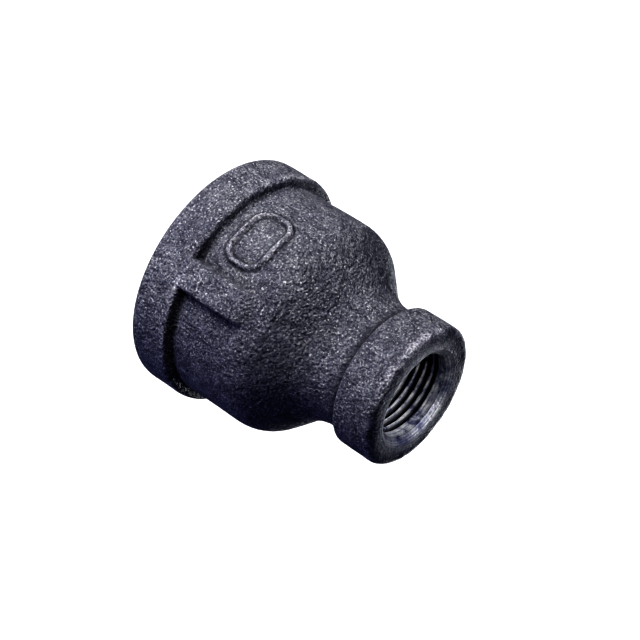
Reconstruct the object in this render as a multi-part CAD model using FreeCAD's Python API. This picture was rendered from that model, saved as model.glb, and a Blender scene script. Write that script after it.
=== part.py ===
import FreeCAD, Part
import math
import os

# Reducing coupling (reducing socket), 1 in x 3/8 in, malleable cast iron.
# One casting, tapped at both ends.
#
# Frame: millimetres. Origin at the centre of the large end's flat face, +Z along the bore
# towards the small end. The two grip ribs lie on the Y axis, the front one towards -Y.

from FreeCAD import Vector

# ---------------------------------------------------------------- driving dimensions
OVERALL_LENGTH = 42.5

# Large end: tapped for a 1 in pipe. The bore is drawn plain, at the thread's minor diameter.
LARGE_THREAD_MINOR = 30.291
LARGE_BORE_DEPTH = 20.0         # large face to the start of the inner cone
LARGE_MOUTH_RISE = 1.75         # countersink, radially and along the axis
LARGE_BAND_WIDTH = 7.2
LARGE_BAND_RISE = 1.85          # band above the body
LARGE_BACK_ROUND = 0.8
LARGE_FRONT_ROUND = 0.7
LARGE_FOOT_ROUND = 0.6

# Small end: tapped for a 3/8 in pipe, drawn the same way.
SMALL_THREAD_MINOR = 14.950
SMALL_BORE_DEPTH = 14.4         # small face to the end of the inner cone
SMALL_MOUTH_RISE = 1.1
SMALL_BAND_WIDTH = 7.4
SMALL_BAND_RISE = 1.4           # band above the neck
SMALL_BACK_ROUND = 0.6
SMALL_FRONT_ROUND = 1.3
SMALL_FOOT_ROUND = 0.7

# Body between the bands
BODY_WALL = 3.5
NECK_WALL = 3.3
OUTER_LAG = 1.4                 # the outside turns into and out of the cone this much later
SHOULDER_ROUND = 6.2
NECK_ROUND = 8.5
INNER_ROUND = 2.0

# Grip ribs, flush with the large band
RIB_COUNT = 2
RIB_CREST_WIDTH = 4.8
RIB_FOOT_WIDTH = 5.5
RIB_PAST_BAND = 10.8            # length of the level crest beyond the band
RIB_END_SLOPE = 45.0            # degrees
RIB_CREST_ROUND = 0.6
RIB_SINK = 1.2                  # how far the rib runs into the body wall

# Plain raised outline cast on the body beside the front rib
MARK_AZIMUTH = -122.0           # degrees
MARK_PAST_BAND = 6.1            # band front to the middle of the outline
MARK_AROUND = 11.0
MARK_ALONG = 7.6
MARK_CORNER = 3.0
MARK_BEAD_WIDTH = 0.9
MARK_BEAD_RISE = 0.4
MARK_SINK = 0.5

# ---------------------------------------------------------------- sizes that follow
large_bore_radius = LARGE_THREAD_MINOR / 2
small_bore_radius = SMALL_THREAD_MINOR / 2
body_radius = large_bore_radius + BODY_WALL
neck_radius = small_bore_radius + NECK_WALL
large_band_radius = body_radius + LARGE_BAND_RISE
small_band_radius = neck_radius + SMALL_BAND_RISE
inner_cone_end = OVERALL_LENGTH - SMALL_BORE_DEPTH
small_band_back = OVERALL_LENGTH - SMALL_BAND_WIDTH
rib_base = LARGE_BAND_WIDTH / 2                 # the rib starts inside the band
rib_crest_end = LARGE_BAND_WIDTH + RIB_PAST_BAND
rib_draft = (RIB_FOOT_WIDTH - RIB_CREST_WIDTH) / 2 / LARGE_BAND_RISE
mark_height = LARGE_BAND_WIDTH + MARK_PAST_BAND


def rounded_outline(corners):
    """Closed wire in the XZ plane through (radius, height, rounding) corners.

    A rounding is limited so that it never takes more than its share of a side.
    """
    count = len(corners)
    arcs = {}
    starts = []
    ends = []
    for i in range(count):
        here = Vector(corners[i][0], 0, corners[i][1])
        back = Vector(corners[i - 1][0], 0, corners[i - 1][1]) - here
        ahead = Vector(corners[(i + 1) % count][0], 0, corners[(i + 1) % count][1]) - here
        half_turn = (math.pi - back.getAngle(ahead)) / 2
        reach = corners[i][2] * math.tan(half_turn)
        reach = min(reach, 0.48 * back.Length, 0.48 * ahead.Length)
        if reach < 1e-6:
            starts.append(here)
            ends.append(here)
            continue
        enter = here + back.normalize() * reach
        leave = here + ahead.normalize() * reach
        radius = reach / math.tan(half_turn)
        middle_way = (back + ahead).normalize()
        middle = here + middle_way * (radius / math.cos(half_turn) - radius)
        arcs[i] = Part.Arc(enter, middle, leave).toShape()
        starts.append(enter)
        ends.append(leave)
    ordered = []
    for i in range(count):
        if i in arcs:
            ordered.append(arcs[i])
        ordered.append(Part.makeLine(ends[i], starts[(i + 1) % count]))
    return Part.Wire(ordered)


def turned_body():
    """The casting without ribs: outside, both mouths, both bores and the cone between them."""
    corners = [
        (large_bore_radius + LARGE_MOUTH_RISE, 0, 0),
        (large_band_radius, 0, LARGE_BACK_ROUND),
        (large_band_radius, LARGE_BAND_WIDTH, LARGE_FRONT_ROUND),
        (body_radius, LARGE_BAND_WIDTH, LARGE_FOOT_ROUND),
        (body_radius, LARGE_BORE_DEPTH + OUTER_LAG, SHOULDER_ROUND),
        (neck_radius, inner_cone_end + OUTER_LAG, NECK_ROUND),
        (neck_radius, small_band_back, SMALL_FOOT_ROUND),
        (small_band_radius, small_band_back, SMALL_BACK_ROUND),
        (small_band_radius, OVERALL_LENGTH, SMALL_FRONT_ROUND),
        (small_bore_radius + SMALL_MOUTH_RISE, OVERALL_LENGTH, 0),
        (small_bore_radius, OVERALL_LENGTH - SMALL_MOUTH_RISE, 0),
        (small_bore_radius, inner_cone_end, INNER_ROUND),
        (large_bore_radius, LARGE_BORE_DEPTH, INNER_ROUND),
        (large_bore_radius, LARGE_MOUTH_RISE, 0),
    ]
    face = Part.Face(rounded_outline(corners))
    return face.revolve(Vector(0, 0, 0), Vector(0, 0, 1), 360)


def lies_on_rib_crest(edge):
    """True for the edges round a rib's crest, apart from the one hidden in the band."""
    middle = edge.valueAt((edge.FirstParameter + edge.LastParameter) / 2)
    on_crest = math.hypot(middle.x, middle.y) > large_band_radius - 0.05
    return on_crest and middle.z > rib_base + 0.01


def grip_rib():
    """One rib, lying towards -Y: drafted flanks, rounded crest flush with the band, sloping end."""
    root = body_radius - RIB_SINK
    rise = large_band_radius - root
    crest_half = RIB_CREST_WIDTH / 2
    root_half = crest_half + rib_draft * rise
    end_run = rise / math.tan(math.radians(RIB_END_SLOPE))
    section = Part.makePolygon([
        Vector(-root_half, -root, rib_base),
        Vector(-crest_half, -large_band_radius, rib_base),
        Vector(crest_half, -large_band_radius, rib_base),
        Vector(root_half, -root, rib_base),
        Vector(-root_half, -root, rib_base),
    ])
    side = Part.makePolygon([
        Vector(-root_half, -root, rib_base),
        Vector(-root_half, -large_band_radius, rib_base),
        Vector(-root_half, -large_band_radius, rib_crest_end),
        Vector(-root_half, -root, rib_crest_end + end_run),
        Vector(-root_half, -root, rib_base),
    ])
    bar = Part.Face(section).extrude(Vector(0, 0, OVERALL_LENGTH))
    slope = Part.Face(side).extrude(Vector(2 * root_half, 0, 0))
    envelope = Part.makeCylinder(large_band_radius, OVERALL_LENGTH)
    rib = bar.common(slope).common(envelope)
    crest = [edge for edge in rib.Edges if lies_on_rib_crest(edge)]
    return rib.makeFillet(RIB_CREST_ROUND, crest)


def rounded_plate(around, along, corner, reach):
    """A rounded rectangle, around (X) by along (Z), extruded towards -Y from the axis."""
    half_x = around / 2
    half_z = along / 2
    wire = rounded_outline([
        (-half_x, -half_z, corner),
        (half_x, -half_z, corner),
        (half_x, half_z, corner),
        (-half_x, half_z, corner),
    ])
    return Part.Face(wire).extrude(Vector(0, -reach, 0))


def raised_outline():
    """The plain outline bead, following the curve of the body."""
    top = body_radius + MARK_BEAD_RISE
    outer = rounded_plate(MARK_AROUND, MARK_ALONG, MARK_CORNER, top + 1)
    inner = rounded_plate(
        MARK_AROUND - 2 * MARK_BEAD_WIDTH,
        MARK_ALONG - 2 * MARK_BEAD_WIDTH,
        MARK_CORNER - MARK_BEAD_WIDTH,
        top + 1,
    )
    loop = outer.cut(inner)
    loop.translate(Vector(0, 0, mark_height))
    shell = Part.makeCylinder(top, OVERALL_LENGTH).cut(
        Part.makeCylinder(body_radius - MARK_SINK, OVERALL_LENGTH))
    bead = loop.common(shell)
    bead.rotate(Vector(0, 0, 0), Vector(0, 0, 1), MARK_AZIMUTH + 90)
    return bead


def coupling_casting():
    casting = turned_body()
    for i in range(RIB_COUNT):
        rib = grip_rib()
        rib.rotate(Vector(0, 0, 0), Vector(0, 0, 1), i * 360 / RIB_COUNT)
        casting = casting.fuse(rib)
    return casting.fuse(raised_outline()).removeSplitter()


os.makedirs("parts", exist_ok=True)
shape = coupling_casting()
solid = shape.Solids[0]
solid.exportStep("parts/coupling_casting.step")
print("solids", len(shape.Solids), "valid", solid.isValid(), "volume mm3", round(solid.Volume, 1))
print("box", solid.BoundBox)
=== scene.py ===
import math

import bmesh
import bpy
import numpy as np
from mathutils import Matrix, Vector, noise


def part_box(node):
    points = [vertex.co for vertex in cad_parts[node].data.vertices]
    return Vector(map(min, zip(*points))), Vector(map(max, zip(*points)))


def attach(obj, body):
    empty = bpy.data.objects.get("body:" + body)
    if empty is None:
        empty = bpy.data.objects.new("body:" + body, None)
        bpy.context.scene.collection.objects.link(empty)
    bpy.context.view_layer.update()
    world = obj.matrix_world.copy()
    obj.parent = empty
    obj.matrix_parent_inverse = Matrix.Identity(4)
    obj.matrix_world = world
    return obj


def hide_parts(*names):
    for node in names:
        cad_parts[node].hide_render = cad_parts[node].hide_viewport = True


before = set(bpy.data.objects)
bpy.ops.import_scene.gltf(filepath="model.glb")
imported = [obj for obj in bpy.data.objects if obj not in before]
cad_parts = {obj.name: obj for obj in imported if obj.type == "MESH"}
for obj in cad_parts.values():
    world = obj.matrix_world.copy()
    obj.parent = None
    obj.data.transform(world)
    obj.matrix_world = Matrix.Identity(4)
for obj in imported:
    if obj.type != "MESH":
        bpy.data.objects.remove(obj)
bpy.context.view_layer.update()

MM = 0.001
TURN = 2 * math.pi

# ---------------------------------------------------------------- sizes, in millimetres
# The same values as the CAD casting, which this piece stands for.
low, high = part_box("coupling_casting")
LENGTH = (high[2] - low[2]) / MM
BAND_R = 20.4955
BODY_R = 18.6455
NECK_R = 10.775
SMALL_R = 12.175
LARGE_BORE_R = 15.1455
SMALL_BORE_R = 7.475
LARGE_BAND = 7.2
SMALL_BAND = 7.4
LARGE_BORE_DEPTH = 20.0
SMALL_BORE_DEPTH = 14.4
OUTER_LAG = 1.4                 # how far the outer cone lies above the inner one
LARGE_MOUTH = 1.75
SMALL_MOUTH = 1.1

# roundings of the outside, from the large end up
LARGE_RIM_ROUND = 0.8
LARGE_BAND_ROUND = 0.75
BAND_FOOT_ROUND = 0.65
SHOULDER_ROUND = 6.2
NECK_HOLLOW = 8.5
NECK_TOP_ROUND = 0.7
SMALL_BAND_ROUND = 0.65
SMALL_RIM_ROUND = 1.3
CORE_ROUND = 1.4
LARGE_FACE_WIDTH = 1.6          # width of the end faces' outer strips
SMALL_FACE_WIDTH = 2.0

RIB_AZIMUTHS = (-90.0, 90.0)
RIB_CREST = 4.8
RIB_FOOT = 5.5
RIB_END = LARGE_BAND + 10.8
RIB_ROUND = 0.6
RIB_FOOT_ROUND = 0.55
RIB_FOOT_REACH = 1.1            # how far the fine columns go beyond the rib's foot
RIB_CREST_REACH = 0.9           # and in from its crest's edge
RIB_END_ROUND = 1.5
RIB_END_BLEND = 0.9
RIB_MID_R = 19.5                # turns a width on the flank into an angle

MARK_AZIMUTH = -122.0
MARK_HEIGHT = LARGE_BAND + 6.1
MARK_AROUND = 11.0
MARK_ALONG = 7.6
MARK_CORNER = 3.0
BEAD_WIDTH = 0.95
BEAD_RISE = 0.46
BEAD_CREST = 0.22
BEAD_SPREAD = 0.12

THREAD_DEPTH = 0.64             # of the pitch
THREAD_TEAR = 0.05              # of the pitch, the cut's unevenness
LARGE_PITCH = 25.4 / 11
SMALL_PITCH = 25.4 / 19
LARGE_THREAD_ROWS = 10          # rows in each turn
SMALL_THREAD_ROWS = 12
SHORT_FADE = 0.45               # pitches over which a thread runs out
LONG_FADE = 1.6

# unevenness of the cast skin: rise, waves per mm, shift along the axis
SKIN_WAVES = ((0.11, 0.16, 0), (0.045, 0.65, 40), (0.030, 1.9, 90))

# where painted shade lies: its distance from the named edge, and how far it spreads
FOOT_SHADE = (0.35, 0.55)
NECK_SHADE = (0.7, 0.9)
FLANK_SHADE = (0.1, 0.45)
BEAD_SHADE = (0.66, 0.30)
FLANK_SHADE_STRENGTH = 0.55
FLANK_SHADE_FADE = (RIB_END - 2.0, RIB_END + 1.4)
SHADE_START = 8                 # degrees from a rib's middle to where the foot's painted shade fades
SHADE_SPREAD_PLAIN = 45         # degrees, on the plain side
SHADE_SPREAD_MARKED = 13        # on the outline's side
GROOVE_SHADE = 2.8
DEEP_SHADE = 0.9
DEEP_SHADE_START = 5.5           # depth into a bore
DEEP_SHADE_FULL = 11.5
# where handling has rubbed the scale, with a painted highlight on those edges: the same two values,
# then how much
SMALL_RIM_WEAR = (0.55, 0.5)
SMALL_RIM_RUB_AND_HIGHLIGHT = 0.8
LARGE_BAND_WEAR = (0.4, 0.4)
LARGE_BAND_RUB_AND_HIGHLIGHT = 0.5
BEAD_RUB_AND_HIGHLIGHT = 0.35
WEAR_PATCH_PACE = 0.35          # waves per mm
WEAR_PATCH_EDGE = (-0.30, 0.15)

# mesh spacing
OUTER_COLUMNS = 400
INNER_COLUMNS = 200
CREST_COLUMNS = 6
MARKED_SIDE = 0.56              # share of the open columns on the outline's side
MARKED_CROWDING = 1.1           # extra columns where the outline lies
ARC_STEP = 0.26
CORE_ARC_STEP = 0.35
MARKED_ROW_STEP = 0.32
ROW_STEP = 0.55
LARGE_MOUTH_RINGS = 7
SMALL_MOUTH_RINGS = 8
SHARP_ANGLE = math.radians(48)


# ---------------------------------------------------------------- small helpers
def smooth(value, start, end):
    """0 before the start, 1 past the end, and an even S between them."""
    t = np.clip((value - start) / (end - start), 0.0, 1.0)
    return t * t * (3 - 2 * t)


def hump(value, centre, width):
    """1 at the centre, falling away on both sides."""
    return math.exp(-((value - centre) / width) ** 2)


def turn_from(azimuth, angle):
    """Degrees from an azimuth to an angle in radians, between -180 and 180."""
    return (np.degrees(angle) - azimuth + 180) % 360 - 180


def at_corner(corners, i):
    """A corner's place, the directions back and ahead from it, and half the angle it turns by."""
    here = np.array(corners[i][:2], float)
    back = np.array(corners[i - 1][:2]) - here
    ahead = np.array(corners[i + 1][:2]) - here
    back = back / np.linalg.norm(back)
    ahead = ahead / np.linalg.norm(ahead)
    half_turn = (math.pi - math.acos(float(back @ ahead))) / 2
    return here, back, ahead, half_turn


def corner_arc(corners, i, arc_step):
    """Points along the tangent arc that rounds a corner."""
    here, back, ahead, half_turn = at_corner(corners, i)
    rounding = corners[i][2]
    reach = rounding * math.tan(half_turn)
    middle = back + ahead
    middle = middle / np.linalg.norm(middle)
    centre = here + middle * rounding / math.cos(half_turn)
    first = here + back * reach - centre
    last = here + ahead * reach - centre
    span = 2 * half_turn
    steps = max(4, int(span * rounding / arc_step))
    points = []
    for k in range(steps + 1):
        share = k / steps
        a = math.sin((1 - share) * span) / math.sin(span)
        b = math.sin(share * span) / math.sin(span)
        points.append(centre + a * first + b * last)
    return points


def rounded_profile(corners, arc_step):
    """Closely spaced points along a profile with corners of (radius, height, rounding)."""
    last = len(corners) - 1
    points = []
    for i, (radius, height, rounding) in enumerate(corners):
        if 0 < i < last and rounding > 0:
            points.extend(corner_arc(corners, i, arc_step))
        else:
            points.append(np.array((radius, height), float))
    filled = [points[0]]
    for end in points[1:]:
        start = filled[-1]
        gap = float(np.linalg.norm(end - start))
        pieces = max(1, int(round(gap / row_step(0.5 * (start[1] + end[1])))))
        for k in range(1, pieces + 1):
            filled.append(start + (end - start) * k / pieces)
    return np.array(filled)


def row_step(height):
    """Row spacing on straight runs: closer where the raised outline lies."""
    if abs(height - MARK_HEIGHT) < MARK_ALONG / 2 + 0.6:
        return MARKED_ROW_STEP
    return ROW_STEP


# ---------------------------------------------------------------- the outside
def outer_rows():
    """Rows from the large end's face, up the outside, to the small end's face."""
    cone_foot = LENGTH - SMALL_BORE_DEPTH + OUTER_LAG
    corners = [
        (BAND_R - LARGE_FACE_WIDTH, 0.0, 0),
        (BAND_R, 0.0, LARGE_RIM_ROUND),
        (BAND_R, LARGE_BAND, LARGE_BAND_ROUND),
        (BODY_R, LARGE_BAND, BAND_FOOT_ROUND),
        (BODY_R, LARGE_BORE_DEPTH + OUTER_LAG, SHOULDER_ROUND),
        (NECK_R, cone_foot, NECK_HOLLOW),
        (NECK_R, LENGTH - SMALL_BAND, NECK_TOP_ROUND),
        (SMALL_R, LENGTH - SMALL_BAND, SMALL_BAND_ROUND),
        (SMALL_R, LENGTH, SMALL_RIM_ROUND),
        (SMALL_R - SMALL_FACE_WIDTH, LENGTH, 0),
    ]
    return rounded_profile(corners, ARC_STEP)


def rib_rows(rows):
    """The same rows where a rib's crest covers them."""
    band_top = LARGE_BAND - LARGE_BAND_ROUND
    foot_top = LARGE_BAND + BAND_FOOT_ROUND
    inside = [i for i, (r, z) in enumerate(rows) if band_top - 1e-6 <= z <= foot_top + 1e-6]
    first, last = inside[0], inside[-1]
    out = rows.copy()
    for i in inside:
        share = (i - first) / (last - first)
        out[i] = (BAND_R, band_top + share * (foot_top - band_top))
    for i in range(last, len(rows)):
        r, z = rows[i]
        crest = BAND_R - smooth_ramp(z - RIB_END, RIB_END_ROUND)
        out[i, 0] = soft_larger(crest, r, RIB_END_BLEND)
    return out


def smooth_ramp(x, rounding):
    """Zero, then a 45 degree rise, with a rounded corner."""
    if x < -rounding:
        return 0.0
    if x > rounding:
        return x
    return (x + rounding) ** 2 / (4 * rounding)


def soft_larger(a, b, blend):
    """The larger of two values, with a smooth change from one to the other."""
    share = max(0.0, 1 - abs(a - b) / blend)
    return max(a, b) + 0.25 * blend * share * share


def rib_flank():
    """Lateral place and height share across a rib's flank, from its foot to its crest."""
    rise = BAND_R - BODY_R
    corners = [
        (RIB_FOOT / 2 + RIB_FOOT_REACH, 0.0, 0),
        (RIB_FOOT / 2, 0.0, RIB_FOOT_ROUND),
        (RIB_CREST / 2, rise, RIB_ROUND),
        (RIB_CREST / 2 - RIB_CREST_REACH, rise, 0),
    ]
    points = [np.array(corners[0][:2], float)]
    for i in (1, 2):
        here, back, ahead, half_turn = at_corner(corners, i)
        reach = corners[i][2] * math.tan(half_turn)
        for k in range(5):
            share = k / 4
            one = here + back * reach * (1 - share)
            two = here + ahead * reach * share
            points.append(one * (1 - share) + two * share)
    points.append(np.array(corners[3][:2], float))
    # one more on the straight run between the two rounded corners
    points.insert(6, (points[5] + points[6]) / 2)
    return [(float(x), float(h) / rise) for x, h in points]


def rib_columns():
    """Azimuth and rib share of the columns on both ribs, and half a rib's angle at its foot."""
    flank = rib_flank()
    columns = []
    for azimuth in RIB_AZIMUTHS:
        for side in (-1, 1):
            for x, share in flank:
                columns.append((azimuth + side * math.degrees(x / RIB_MID_R), share))
    crest = math.degrees(flank[-1][0] / RIB_MID_R)
    for azimuth in RIB_AZIMUTHS:
        for k in range(1, CREST_COLUMNS + 1):
            share = k / (CREST_COLUMNS + 1)
            columns.append((azimuth - crest + 2 * crest * share, 1.0))
    return columns, math.degrees(flank[0][0] / RIB_MID_R)


def outer_columns():
    """Azimuth and rib share of each column, closest together on the ribs' flanks."""
    columns, edge = rib_columns()
    spare = OUTER_COLUMNS - len(columns)
    marked = int(spare * MARKED_SIDE)
    plain = spare - marked
    stretch = 180 - 2 * edge
    start = RIB_AZIMUTHS[0] + edge
    for k in range(1, plain + 1):
        columns.append((start + stretch * k / (plain + 1), 0.0))
    # the other side holds the raised outline, where columns crowd together
    start = RIB_AZIMUTHS[1] - 360 + edge
    half_mark = math.degrees(MARK_AROUND / 2 / BODY_R) + 2.0
    ruler = np.linspace(start, start + stretch, 4000)
    weight = 1 + MARKED_CROWDING * (np.abs(ruler - MARK_AZIMUTH) < half_mark)
    total = np.cumsum(weight)
    wanted = total[0] + (total[-1] - total[0]) * np.arange(1, marked + 1) / (marked + 1)
    for azimuth in np.interp(wanted, total, ruler):
        columns.append((float(azimuth), 0.0))
    turned = sorted((azimuth % 360.0, share) for azimuth, share in columns)
    angles = np.radians([azimuth for azimuth, share in turned])
    return angles, np.array([share for azimuth, share in turned])


def on_body(radius):
    """True on the straight body, the only place where the outline may stand."""
    return abs(radius - BODY_R) < 0.4


def bead_height(angle, height):
    """Rise of the raised rounded-rectangle outline, and the distance to its middle line."""
    x = np.abs(np.radians(turn_from(MARK_AZIMUTH, angle)) * BODY_R)
    y = np.abs(height - MARK_HEIGHT)
    half_x = (MARK_AROUND - BEAD_WIDTH) / 2
    half_y = (MARK_ALONG - BEAD_WIDTH) / 2
    radius = MARK_CORNER - BEAD_WIDTH / 2
    qx = x - (half_x - radius)
    qy = y - (half_y - radius)
    outside = np.hypot(np.maximum(qx, 0), np.maximum(qy, 0))
    distance = np.abs(outside + np.minimum(np.maximum(qx, qy), 0) - radius)
    return BEAD_RISE * (1 - smooth(distance, BEAD_CREST, BEAD_WIDTH / 2 + BEAD_SPREAD)), distance


def cast_skin(x, y, z):
    """Unevenness of the sand-cast skin: broad waves, lumps and grain."""
    waves = 0.0
    for rise, pace, shift in SKIN_WAVES:
        waves += rise * noise.noise(Vector((x, y, z + shift)) * pace)
    return waves


def edge_wear_and_highlight(row, bead, x, y, z):
    """Where handling has rubbed the scale, with a painted highlight: the bands' rounded edges and the
    raised outline.
    """
    r, height = row
    inset, width = SMALL_RIM_WEAR
    front = SMALL_RIM_RUB_AND_HIGHLIGHT * hump(height, LENGTH - inset, width) * (r > SMALL_R - 1.2)
    inset, width = LARGE_BAND_WEAR
    back = LARGE_BAND_RUB_AND_HIGHLIGHT * hump(height, LARGE_BAND - inset, width) * (r > BAND_R - 0.8)
    patches = noise.noise(Vector((x, y, z)) * WEAR_PATCH_PACE)
    patchy = float(smooth(patches, *WEAR_PATCH_EDGE))
    return max(front, back, BEAD_RUB_AND_HIGHLIGHT * bead / BEAD_RISE) * patchy


def corner_shade(angle):
    """Painted shade at the band's foot: strong beside the ribs, fading away from them, and sooner on
    the outline's side.
    """
    shade = 0.0
    for azimuth in RIB_AZIMUTHS:
        turn = turn_from(azimuth, angle)
        spread = SHADE_SPREAD_PLAIN if turn > 0 else SHADE_SPREAD_MARKED
        shade = max(shade, hump(max(0.0, abs(turn) - SHADE_START), 0.0, spread))
    return shade


def flank_shade(angle, height):
    """Painted shade in the corners beside the ribs, ending where the ribs slope down."""
    out, width = FLANK_SHADE
    painted_shade = 0.0
    for azimuth in RIB_AZIMUTHS:
        offset = abs(math.radians(turn_from(azimuth, angle))) * BODY_R - RIB_FOOT / 2
        painted_shade = max(painted_shade, FLANK_SHADE_STRENGTH * hump(offset, out, width))
    return painted_shade * (1 - float(smooth(height, *FLANK_SHADE_FADE)))


def painted_crevice_shade(row, share, distance, bead, angle):
    """How dark the painted shade lies: in the band's foot, the neck, beside the ribs, round the bead.
    """
    r, height = row
    foot = neck = flank = ring = 0.0
    if r < BAND_R - 0.3:
        out, width = FOOT_SHADE
        foot = hump(height, LARGE_BAND + out, width) * (1 - share) * corner_shade(angle)
    if r < SMALL_R - 0.3:
        out, width = NECK_SHADE
        neck = hump(height, LENGTH - SMALL_BAND - out, width)
    if LARGE_BAND < height < RIB_END + 1.5:
        flank = flank_shade(angle, height)
    if bead < 0.6 * BEAD_RISE and on_body(r):
        ring = hump(distance, *BEAD_SHADE)
    return max(foot, neck, flank, ring)


# ---------------------------------------------------------------- mesh builder
class Shell:
    """Vertices with three painted values, and the faces between them."""

    def __init__(self):
        self.points = []
        self.machined = []
        self.painted_shade = []
        self.wear_and_highlight = []
        self.faces = []

    def add(self, angle, radius, height, machined=0.0, painted_shade=0.0, wear_and_highlight=0.0):
        self.points.append((radius * math.cos(angle), radius * math.sin(angle), height))
        self.machined.append(machined)
        self.painted_shade.append(painted_shade)
        self.wear_and_highlight.append(wear_and_highlight)
        return len(self.points) - 1

    def ring(self, angles, radius, height, machined=0.0):
        return [self.add(angle, radius, height, machined) for angle in angles]

    def join(self, below, above):
        """Four-sided faces between two rings with the same columns."""
        count = len(below)
        for i in range(count):
            k = (i + 1) % count
            self.faces.append((below[i], below[k], above[k], above[i]))

    def strip(self, below, above):
        """The same, but open between the last column and the first."""
        for i in range(len(below) - 1):
            self.faces.append((below[i], below[i + 1], above[i + 1], above[i]))

    def fan(self, pivot, rim):
        """Triangles from one vertex to a line of others."""
        for one, two in zip(rim[:-1], rim[1:]):
            self.faces.append((pivot, one, two))

    def bridge(self, outer, outer_angles, inner, inner_angles):
        """Triangles between two rings with different columns."""
        i = j = 0
        n, m = len(outer), len(inner)
        while i < n or j < m:
            next_outer = outer_angles[i + 1] if i + 1 < n else TURN + outer_angles[0]
            next_inner = inner_angles[j + 1] if j + 1 < m else TURN + inner_angles[0]
            a, b = outer[i % n], inner[j % m]
            if j >= m or (i < n and next_outer <= next_inner):
                i += 1
                self.faces.append((a, outer[i % n], b))
            else:
                j += 1
                self.faces.append((a, inner[j % m], b))


def add_outside(shell):
    """The whole outer skin. Returns its columns' angles and its first and last rows."""
    rows = outer_rows()
    ribbed = rib_rows(rows)
    angles, shares = outer_columns()
    tangents = np.gradient(rows, axis=0)
    tangents = tangents / np.linalg.norm(tangents, axis=1)[:, None]
    tangents[[0, -1]] = 0.0
    grid = []
    for row, crest, tangent in zip(rows, ribbed, tangents):
        place = row[None, :] * (1 - shares[:, None]) + crest[None, :] * shares[:, None]
        radii, heights = place[:, 0], place[:, 1]
        beads, distances = bead_height(angles, heights)
        beads = beads * (shares == 0) * on_body(row[0])
        line = []
        for angle, share, r, z, bead, distance in zip(angles, shares, radii, heights, beads, distances):
            x, y = r * math.cos(angle), r * math.sin(angle)
            push = bead + cast_skin(x, y, z) * min(1.0, z / 1.5)
            # painted shade: darker in the band's foot, the neck, beside the ribs and round the outline
            painted_shade = painted_crevice_shade(row, share, distance, bead, angle)
            # rubbed edges, with a painted highlight on them
            wear_and_highlight = edge_wear_and_highlight(row, bead, x, y, z)
            line.append(shell.add(angle, r + push * tangent[1], z - push * tangent[0], 0.0, painted_shade, wear_and_highlight))
        grid.append(line)
    for below, above in zip(grid[:-1], grid[1:]):
        shell.join(below, above)
    return angles, grid[0], grid[-1]


# ---------------------------------------------------------------- the bores
def thread_cut(share):
    """0 on the crest next to the bore, 1 at the groove's root."""
    slope = 1 - abs(2 * share - 1)
    return min(1.0, max(0.0, (slope - 1 / 6) / (2 / 3)))


def thread_grid(shell, angles, bore, pitch, low_z, high_z, per_turn, fades):
    """Rows of a right-hand helix, each one rising by a pitch around the bore."""
    rows = int(((high_z - low_z) / pitch - 1) * per_turn)
    top = low_z + (rows / per_turn + 1) * pitch
    fade_in, fade_out = fades
    grid = []
    for j in range(rows + 1):
        cut = thread_cut((j / per_turn) % 1.0)
        line = []
        for angle in angles:
            z = low_z + (j / per_turn + angle / TURN) * pitch
            near_low = smooth(z, low_z + pitch, low_z + pitch * (1 + fade_in))
            near_high = 1 - smooth(z, top - pitch * (1 + fade_out), top - pitch)
            amount = cut * float(near_low * near_high)
            tear = noise.noise(Vector((angle * bore * 0.8, z * 1.5, pitch * 9)))
            depth = THREAD_DEPTH * pitch + THREAD_TEAR * pitch * tear
            # painted shade: black in the thread's grooves and darker deeper in the bore
            inward = min(abs(z), abs(LENGTH - z))
            deep = DEEP_SHADE * float(smooth(inward, DEEP_SHADE_START, DEEP_SHADE_FULL))
            painted_shade = max(min(1.0, GROOVE_SHADE * amount), deep)
            line.append(shell.add(angle, bore + amount * depth, z, 1.0, painted_shade))
        grid.append(line)
    return grid, top


def add_thread(shell, angles, bore, pitch, low_z, high_z, per_turn, start_ring, fades):
    """An internal thread between two heights, faded at both ends.

    start_ring is the plain ring just below it. Returns the plain ring just above it.
    """
    grid, top = thread_grid(shell, angles, bore, pitch, low_z, high_z, per_turn, fades)
    rows = len(grid) - 1
    end_ring = shell.ring(angles, bore, top + 0.02 * pitch, 1.0)
    for j in range(rows):
        shell.strip(grid[j], grid[j + 1])
        # the last column closes on the first one, one pitch further along
        if j + per_turn < rows:
            one, two = grid[j + per_turn][0], grid[j + per_turn + 1][0]
            shell.faces.append((grid[j][-1], one, two, grid[j + 1][-1]))
    shell.strip(start_ring, grid[0])
    shell.strip(grid[rows], end_ring)
    first_column = [grid[j][0] for j in range(per_turn + 1)]
    shell.fan(grid[0][-1], [start_ring[-1], start_ring[0]] + first_column)
    last_column = [grid[j][-1] for j in range(rows, rows - per_turn - 1, -1)]
    shell.fan(grid[rows][0], [end_ring[0], end_ring[-1]] + last_column)
    return end_ring


def add_large_bore(shell, angles, outer_angles, large_edge):
    """Flat face, countersink and thread of the large end. Returns its last ring."""
    ring = shell.ring(angles, LARGE_BORE_R + LARGE_MOUTH + 0.12, 0.0, 0.3)
    shell.bridge(large_edge, outer_angles, ring, angles)
    for step in range(LARGE_MOUTH_RINGS):
        share = step / (LARGE_MOUTH_RINGS - 1)
        radius = LARGE_BORE_R + LARGE_MOUTH * (1 - share)
        above = shell.ring(angles, radius, 0.06 * (1 - share) + share * LARGE_MOUTH, 1.0)
        shell.join(ring, above)
        ring = above
    start = shell.ring(angles, LARGE_BORE_R, LARGE_MOUTH + 0.05, 1.0)
    shell.join(ring, start)
    return add_thread(shell, angles, LARGE_BORE_R, LARGE_PITCH, LARGE_MOUTH + 0.1,
                      LARGE_BORE_DEPTH - 1.3, LARGE_THREAD_ROWS, start, (SHORT_FADE, LONG_FADE))


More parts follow.
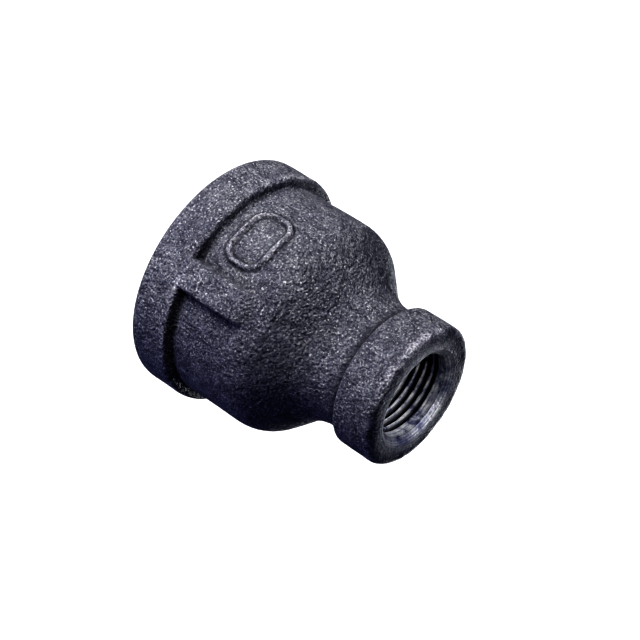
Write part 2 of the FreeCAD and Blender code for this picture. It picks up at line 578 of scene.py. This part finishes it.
def add_waterway(shell, angles, ring, cone_end):
    """The cored cone between the two bores. Returns its last ring."""
    corners = [
        (LARGE_BORE_R, LARGE_BORE_DEPTH - 1.1, 0),
        (LARGE_BORE_R, LARGE_BORE_DEPTH, CORE_ROUND),
        (SMALL_BORE_R, cone_end, CORE_ROUND),
        (SMALL_BORE_R, cone_end + 1.0, 0),
    ]
    for radius, height in rounded_profile(corners, CORE_ARC_STEP):
        cored = smooth(height, LARGE_BORE_DEPTH - 0.5, LARGE_BORE_DEPTH + 1.5)
        cored = float(cored * (1 - smooth(height, cone_end - 1.2, cone_end + 0.4)))
        line = []
        for angle in angles:
            x, y = radius * math.cos(angle), radius * math.sin(angle)
            rough = cored * 1.6 * cast_skin(x, y, height + 200)
            # painted shade over the whole cored cone
            line.append(shell.add(angle, radius + rough, height, 1 - cored, 0.5))
        shell.join(ring, line)
        ring = line
    return ring


def add_small_bore(shell, angles, ring, cone_end, outer_angles, small_edge):
    """Thread, countersink and flat face of the small end."""
    thread_top = LENGTH - SMALL_MOUTH - 0.02 + 0.15 * SMALL_PITCH
    ring = add_thread(shell, angles, SMALL_BORE_R, SMALL_PITCH, cone_end + 1.1,
                      thread_top, SMALL_THREAD_ROWS, ring, (LONG_FADE, SHORT_FADE))
    for step in range(SMALL_MOUTH_RINGS):
        share = step / (SMALL_MOUTH_RINGS - 1)
        height = LENGTH - SMALL_MOUTH * (1 - share)
        above = shell.ring(angles, SMALL_BORE_R + SMALL_MOUTH * share, height, 1.0 - 0.35 * share)
        shell.join(ring, above)
        ring = above
    rim = shell.ring(angles, SMALL_BORE_R + SMALL_MOUTH + 0.1, LENGTH, 0.3)
    shell.join(ring, rim)
    shell.bridge(small_edge, outer_angles, rim, angles)


def add_inside(shell, outer_angles, large_edge, small_edge):
    angles = np.arange(INNER_COLUMNS) * TURN / INNER_COLUMNS
    cone_end = LENGTH - SMALL_BORE_DEPTH
    ring = add_large_bore(shell, angles, outer_angles, large_edge)
    ring = add_waterway(shell, angles, ring, cone_end)
    add_small_bore(shell, angles, ring, cone_end, outer_angles, small_edge)


def shade_smooth(mesh):
    """Faces outward and smooth, with the sharp edges kept."""
    work = bmesh.new()
    work.from_mesh(mesh)
    bmesh.ops.recalc_face_normals(work, faces=work.faces)
    for face in work.faces:
        face.smooth = True
    for edge in work.edges:
        if len(edge.link_faces) == 2 and edge.calc_face_angle() > SHARP_ANGLE:
            edge.smooth = False
    work.to_mesh(mesh)
    work.free()


def casting():
    shell = Shell()
    outer_angles, large_edge, small_edge = add_outside(shell)
    add_inside(shell, outer_angles, large_edge, small_edge)
    mesh = bpy.data.meshes.new("iron_casting")
    mesh.from_pydata([(x * MM, y * MM, z * MM) for x, y, z in shell.points], [], shell.faces)
    for name in ("machined", "painted_shade", "wear_and_highlight"):
        layer = mesh.attributes.new(name, "FLOAT", "POINT")
        layer.data.foreach_set("value", getattr(shell, name))
    shade_smooth(mesh)
    piece = bpy.data.objects.new("iron_casting", mesh)
    bpy.context.scene.collection.objects.link(piece)
    return piece


# ---------------------------------------------------------------- material
# Each ramp is a list of places and colours.
SCALE_RAMP = [(0.30, (0.034, 0.0345, 0.045)), (0.70, (0.056, 0.058, 0.064))]
MOTTLE_RAMP = [(0.34, (0.62, 0.62, 0.68)), (0.66, (1.42, 1.42, 1.38))]
GRAIN_RAMP = [
    (0.36, (0.24, 0.22, 0.36)),
    (0.50, (0.86, 0.84, 0.98)),
    (0.64, (2.1, 2.07, 1.95)),
]
GLINT_RAMP = [(0.60, (0.0, 0.0, 0.0)), (0.72, (0.19, 0.19, 0.19))]
STEEL_RAMP = [
    (0.36, (0.07, 0.075, 0.13)),
    (0.52, (0.28, 0.29, 0.31)),
    (0.70, (0.52, 0.52, 0.50)),
]
TURNED_RAMP = [(0.36, (0.50, 0.50, 0.54)), (0.62, (1.45, 1.45, 1.42))]
# colour of the rubbed edges, which also serves as a painted highlight
RUBBED_AND_LIT_IRON = (0.22, 0.22, 0.225)
# colours of the painted shade on the skin and in the bores
SKIN_SHADE_COLOUR = (0.004, 0.004, 0.009)
BORE_SHADE_COLOUR = (0.008, 0.008, 0.012)
RUB_AND_HIGHLIGHT_COVER = 0.9                 # how fully the rubbed edges with their painted highlight, and the painted shade, cover what is below
SKIN_SHADE_COVER = 0.94
BORE_SHADE_COVER = 0.96
STEEL_GRAIN = 0.35              # how much of the skin's grain the steel shows
RELIEF_DEPTH = 0.00070
RELIEF_STRENGTH = 0.9
GRAIN_RELIEF = 0.8              # shares of the relief
COARSE_RELIEF = 0.9
PIT_RELIEF = 0.55
STEEL_RELIEF = 0.16
TURNED_RELIEF = 0.12
SKIN_ROUGHNESS = (0.42, 0.28)   # least roughness, and how much the noise adds
STEEL_ROUGHNESS = (0.18, 0.22)
SPECULAR_LEVEL = 0.2
MACHINED_METALLIC = 0.45
# noise scales, in waves per metre
CLOUD_SCALE = 110.0
PATCH_SCALE = 420.0
MOTTLE_SCALE = 480.0
COARSE_SCALE = 900.0
PIT_SCALE = 1900.0
GRAIN_SCALE = 2800.0
SPECK_SCALE = 3000.0
TURNED_SCALE = 4200.0


class Nodes:
    """A short way to add nodes and link them."""

    def __init__(self, tree):
        self.tree = tree

    def add(self, kind, **settings):
        node = self.tree.nodes.new(kind)
        for name, value in settings.items():
            setattr(node, name, value)
        return node

    def link(self, source, target):
        self.tree.links.new(source, target)

    def feed(self, socket, value):
        """Set a socket to a number or a colour, or link it to an output."""
        if isinstance(value, (int, float)):
            socket.default_value = value
        elif isinstance(value, tuple):
            socket.default_value = (*value, 1.0)
        else:
            self.link(value, socket)

    def painted(self, name):
        return self.add("ShaderNodeAttribute", attribute_name=name).outputs["Fac"]

    def math(self, operation, first, second):
        node = self.add("ShaderNodeMath", operation=operation)
        self.feed(node.inputs[0], first)
        self.feed(node.inputs[1], second)
        return node.outputs[0]

    def plus(self, first, second):
        return self.math("ADD", first, second)

    def times(self, first, second):
        return self.math("MULTIPLY", first, second)

    def noise(self, place, scale, detail=2.0, roughness=0.5):
        node = self.add("ShaderNodeTexNoise")
        node.inputs["Scale"].default_value = scale
        node.inputs["Detail"].default_value = detail
        node.inputs["Roughness"].default_value = roughness
        self.link(place, node.inputs["Vector"])
        return node.outputs["Fac"]

    def ramp(self, value, stops):
        node = self.add("ShaderNodeValToRGB")
        band = node.color_ramp
        while len(band.elements) < len(stops):
            band.elements.new(0.5)
        for element, (place, colour) in zip(band.elements, stops):
            element.position = place
            element.color = (*colour, 1.0)
        self.link(value, node.inputs[0])
        return node.outputs[0]

    def mix(self, share, first, second, blend="MIX"):
        node = self.add("ShaderNodeMix", data_type="RGBA", blend_type=blend)
        self.feed(node.inputs["Factor"], share)
        self.feed(node.inputs[6], first)
        self.feed(node.inputs[7], second)
        return node.outputs[2]


def turned_place(n, place):
    """Coordinates that only change with radius and height, so marks run round the bore."""
    parts = n.add("ShaderNodeSeparateXYZ")
    n.link(place, parts.inputs[0])
    x_squared = n.math("POWER", parts.outputs[0], 2.0)
    y_squared = n.math("POWER", parts.outputs[1], 2.0)
    rings = n.add("ShaderNodeCombineXYZ")
    n.link(n.math("POWER", n.plus(x_squared, y_squared), 0.5), rings.inputs[0])
    n.link(parts.outputs[2], rings.inputs[1])
    return rings.outputs[0]


def skin_colour(n, place, grainy, painted_shade, wear_and_highlight):
    """Blue-black scale: cloudy at centimetre size, mottled, speckled at grain size with painted glints,
    rubbed with a painted highlight on the edges, and darkened by painted shade.
    """
    skin = n.ramp(n.noise(place, CLOUD_SCALE, 3.0, 0.55), SCALE_RAMP)
    # rubbed edges lightened, partly as a painted highlight
    skin = n.mix(n.times(wear_and_highlight, RUB_AND_HIGHLIGHT_COVER), skin, RUBBED_AND_LIT_IRON)
    skin = n.mix(1.0, skin, n.ramp(n.noise(place, MOTTLE_SCALE), MOTTLE_RAMP), "MULTIPLY")
    skin = n.mix(1.0, skin, grainy, "MULTIPLY")
    # painted glints: bright specks added to the colour
    skin = n.mix(1.0, skin, n.ramp(n.noise(place, SPECK_SCALE, 1.0), GLINT_RAMP), "ADD")
    # painted shade in the corners, the neck and round the outline
    return n.mix(n.times(painted_shade, SKIN_SHADE_COVER), skin, SKIN_SHADE_COLOUR)


def steel_colour(n, patch, turned, grainy, painted_shade):
    """Machined grey, oiled, with turned marks, and painted shade that blackens the thread's grooves and
    the deeper bore.
    """
    steel = n.ramp(patch, STEEL_RAMP)
    steel = n.mix(1.0, steel, n.ramp(turned, TURNED_RAMP), "MULTIPLY")
    steel = n.mix(STEEL_GRAIN, steel, n.mix(1.0, steel, grainy, "MULTIPLY"))
    # painted shade in the grooves and the deeper bore
    return n.mix(n.times(painted_shade, BORE_SHADE_COVER), steel, BORE_SHADE_COLOUR)


def surface_relief(n, place, grain, turned, machined, keep):
    """Sandy relief on the skin and faint tool marks on the machined parts, as a normal."""
    pits = n.add("ShaderNodeTexVoronoi", feature="SMOOTH_F1")
    pits.inputs["Scale"].default_value = PIT_SCALE
    n.link(place, pits.inputs["Vector"])
    coarse = n.noise(place, COARSE_SCALE, 2.0, 0.55)
    relief = n.plus(n.times(grain, GRAIN_RELIEF), n.times(coarse, COARSE_RELIEF))
    relief = n.plus(relief, n.times(pits.outputs["Distance"], PIT_RELIEF))
    relief = n.times(relief, n.plus(n.times(keep, 1 - STEEL_RELIEF), STEEL_RELIEF))
    relief = n.plus(relief, n.times(n.times(turned, machined), TURNED_RELIEF))
    bump = n.add("ShaderNodeBump")
    bump.inputs["Strength"].default_value = RELIEF_STRENGTH
    bump.inputs["Distance"].default_value = RELIEF_DEPTH
    n.link(relief, bump.inputs["Height"])
    return bump.outputs["Normal"]


def surface_roughness(n, grain, patch, machined, keep):
    """Dull skin and smoother machined metal, each with its own unevenness."""
    least, added = SKIN_ROUGHNESS
    skin = n.plus(n.times(grain, added), least)
    least, added = STEEL_ROUGHNESS
    steel = n.plus(n.times(patch, added), least)
    return n.plus(n.times(skin, keep), n.times(steel, machined))


def iron_material():
    material = bpy.data.materials.new("black_malleable_iron")
    material.use_nodes = True
    material.node_tree.nodes.clear()
    n = Nodes(material.node_tree)
    place = n.add("ShaderNodeTexCoord").outputs["Object"]
    machined = n.painted("machined")
    painted_shade = n.painted("painted_shade")
    wear_and_highlight = n.painted("wear_and_highlight")
    keep = n.math("SUBTRACT", 1.0, machined)

    grain = n.noise(place, GRAIN_SCALE, 2.5, 0.65)
    patch = n.noise(place, PATCH_SCALE, 3.0, 0.6)
    turned = n.noise(turned_place(n, place), TURNED_SCALE)
    grainy = n.ramp(grain, GRAIN_RAMP)
    skin = skin_colour(n, place, grainy, painted_shade, wear_and_highlight)
    steel = steel_colour(n, patch, turned, grainy, painted_shade)
    relief = surface_relief(n, place, grain, turned, machined, keep)

    shader = n.add("ShaderNodeBsdfPrincipled")
    shader.inputs["Specular IOR Level"].default_value = SPECULAR_LEVEL
    n.link(n.mix(machined, skin, steel), shader.inputs["Base Color"])
    n.link(surface_roughness(n, grain, patch, machined, keep), shader.inputs["Roughness"])
    n.link(n.times(machined, MACHINED_METALLIC), shader.inputs["Metallic"])
    n.link(relief, shader.inputs["Normal"])
    output = n.add("ShaderNodeOutputMaterial")
    n.link(shader.outputs[0], output.inputs["Surface"])
    return material


# ---------------------------------------------------------------- studio
# Directions are azimuth from the X axis and elevation, in degrees. Lengths are metres.
VIEW_AZIMUTH = -99.0
VIEW_ELEVATION = 28.4
VIEW_ROLL = 122.75
CAMERA_DISTANCE = 0.2857
AIM_RIGHT = 0.00048
AIM_UP = 0.00199
LENS = 101.0
SENSOR = 36.0

# name: azimuth, elevation, distance, size, power, colour
AREA_LIGHTS = {
    "key": (-130.0, -15.0, 0.16, 0.13, 0.72, (1.0, 0.99, 0.97)),
    "behind": (84.0, -6.0, 0.30, 0.15, 0.75, (0.90, 0.94, 1.0)),
    "low": (-42.0, -30.0, 0.30, 0.12, 0.42, (0.50, 0.50, 1.0)),
    "front": (-125.0, 60.0, 0.30, 0.06, 0.012, (0.80, 0.86, 1.0)),
    "mouth": (165.0, 44.0, 0.30, 0.06, 0.025, (0.95, 0.97, 1.0)),
}
BEAM_AZIMUTH = -135.0
BEAM_ELEVATION = 52.0
BEAM_DISTANCE = 0.2
BEAM_POWER = 3.8
BEAM_RADIUS = 0.0074            # where it enters the small bore
BEAM_SOURCE = 0.004
BEAM_BLEND = 0.3
FILL_AZIMUTH = -160.0
FILL_ELEVATION = 34.0
FILL_STRENGTH = 0.18
FILL_FLOOR = 0.035
FILL_FALLOFF = 1.5
FILL_COLOUR = (0.42, 0.46, 1.0)
FLOOR_REACH = 3.0
FLOOR_GREY = 0.60
FLOOR_GLOW = 0.93


def heading(azimuth, elevation):
    """Unit vector that points to an azimuth and an elevation, in degrees."""
    a, e = math.radians(azimuth), math.radians(elevation)
    return Vector((math.cos(a) * math.cos(e), math.sin(a) * math.cos(e), math.sin(e)))


def place_camera(middle):
    """A camera rolled about its line of sight, aimed a little off the casting's middle."""
    back = heading(VIEW_AZIMUTH, VIEW_ELEVATION)
    level = Vector((0, 0, 1)).cross(back).normalized()
    upright = back.cross(level)
    roll = math.radians(VIEW_ROLL)
    right = level * math.cos(roll) + upright * math.sin(roll)
    up = upright * math.cos(roll) - level * math.sin(roll)
    aim = middle + right * AIM_RIGHT + up * AIM_UP
    camera = bpy.data.objects.new("camera", bpy.data.cameras.new("camera"))
    bpy.context.scene.collection.objects.link(camera)
    turn = Matrix((right, up, back)).transposed().to_4x4()
    camera.matrix_world = Matrix.Translation(aim + back * CAMERA_DISTANCE) @ turn
    camera.data.lens = LENS
    camera.data.sensor_width = SENSOR
    camera.data.clip_start = 0.01
    bpy.context.scene.camera = camera


def floor_material():
    material = bpy.data.materials.new("pale_floor")
    material.use_nodes = True
    shader = material.node_tree.nodes["Principled BSDF"]
    shader.inputs["Base Color"].default_value = (FLOOR_GREY, FLOOR_GREY, FLOOR_GREY, 1.0)
    shader.inputs["Roughness"].default_value = 0.8
    shader.inputs["Specular IOR Level"].default_value = 0.1
    shader.inputs["Emission Color"].default_value = (1.0, 1.0, 1.0, 1.0)
    shader.inputs["Emission Strength"].default_value = FLOOR_GLOW
    return material


def make_floor():
    """A pale floor that throws no light back onto the casting."""
    reach = FLOOR_REACH
    mesh = bpy.data.meshes.new("floor")
    corners = [(-reach, -reach, 0), (reach, -reach, 0), (reach, reach, 0), (-reach, reach, 0)]
    mesh.from_pydata(corners, [], [(0, 1, 2, 3)])
    mesh.materials.append(floor_material())
    floor = bpy.data.objects.new("floor", mesh)
    floor.location.z = -0.0001
    bpy.context.scene.collection.objects.link(floor)
    floor.visible_diffuse = False
    floor.visible_glossy = False


def place_light(data, position, way, only_for):
    """Put a light at a place, shining against the given way, on one collection only."""
    light = bpy.data.objects.new(data.name, data)
    light.location = position
    light.rotation_mode = "QUATERNION"
    light.rotation_quaternion = way.to_track_quat("Z", "Y")
    bpy.context.scene.collection.objects.link(light)
    light.light_linking.receiver_collection = only_for
    light.light_linking.blocker_collection = only_for


def area_light(name, middle, only_for):
    azimuth, elevation, distance, size, power, colour = AREA_LIGHTS[name]
    data = bpy.data.lights.new(name, "AREA")
    data.shape = "DISK"
    data.size = size
    data.energy = power
    data.color = colour
    way = heading(azimuth, elevation)
    place_light(data, middle + way * distance, way, only_for)


def bore_light(mouth_centre, only_for):
    """A narrow beam into the small bore, which shows its thread."""
    data = bpy.data.lights.new("bore_beam", "SPOT")
    data.energy = BEAM_POWER
    data.shadow_soft_size = BEAM_SOURCE
    data.spot_size = 2 * math.atan(BEAM_RADIUS / BEAM_DISTANCE)
    data.spot_blend = BEAM_BLEND
    way = heading(BEAM_AZIMUTH, BEAM_ELEVATION)
    place_light(data, mouth_centre + way * BEAM_DISTANCE, way, only_for)


def light_studio(piece, middle):
    only_casting = bpy.data.collections.new("lit_casting")
    only_casting.objects.link(piece)
    for name in AREA_LIGHTS:
        area_light(name, middle, only_casting)
    bore_light(Vector((0, 0, (LENGTH - 1.2) * MM)), only_casting)


def make_world():
    """White where the camera looks, and a dim blue glow from one side for everything else."""
    world = bpy.data.worlds.new("studio")
    bpy.context.scene.world = world
    world.use_nodes = True
    world.node_tree.nodes.clear()
    n = Nodes(world.node_tree)
    seen = n.add("ShaderNodeBackground")
    seen.inputs["Color"].default_value = (1.0, 1.0, 1.0, 1.0)
    seen.inputs["Strength"].default_value = 1.0
    soft = n.add("ShaderNodeBackground")
    soft.inputs["Color"].default_value = (*FILL_COLOUR, 1.0)
    towards = n.add("ShaderNodeVectorMath", operation="DOT_PRODUCT")
    n.link(n.add("ShaderNodeTexCoord").outputs["Generated"], towards.inputs[0])
    towards.inputs[1].default_value = heading(FILL_AZIMUTH, FILL_ELEVATION)
    bright = n.math("MAXIMUM", towards.outputs["Value"], 0.0)
    bright = n.math("POWER", bright, FILL_FALLOFF)
    bright = n.plus(n.times(bright, FILL_STRENGTH), FILL_FLOOR)
    n.link(bright, soft.inputs["Strength"])
    path = n.add("ShaderNodeLightPath")
    mix = n.add("ShaderNodeMixShader")
    n.link(path.outputs["Is Camera Ray"], mix.inputs[0])
    n.link(soft.outputs[0], mix.inputs[1])
    n.link(seen.outputs[0], mix.inputs[2])
    output = n.add("ShaderNodeOutputWorld")
    n.link(mix.outputs[0], output.inputs["Surface"])


# ---------------------------------------------------------------- build
iron = casting()
iron.data.materials.append(iron_material())
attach(iron, "root")
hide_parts("coupling_casting")

centre = Vector((0, 0, LENGTH * MM / 2))
make_floor()
make_world()
light_studio(iron, centre)
place_camera(centre)
bpy.context.scene.view_settings.view_transform = "Standard"
bpy.context.scene.view_settings.look = "High Contrast"
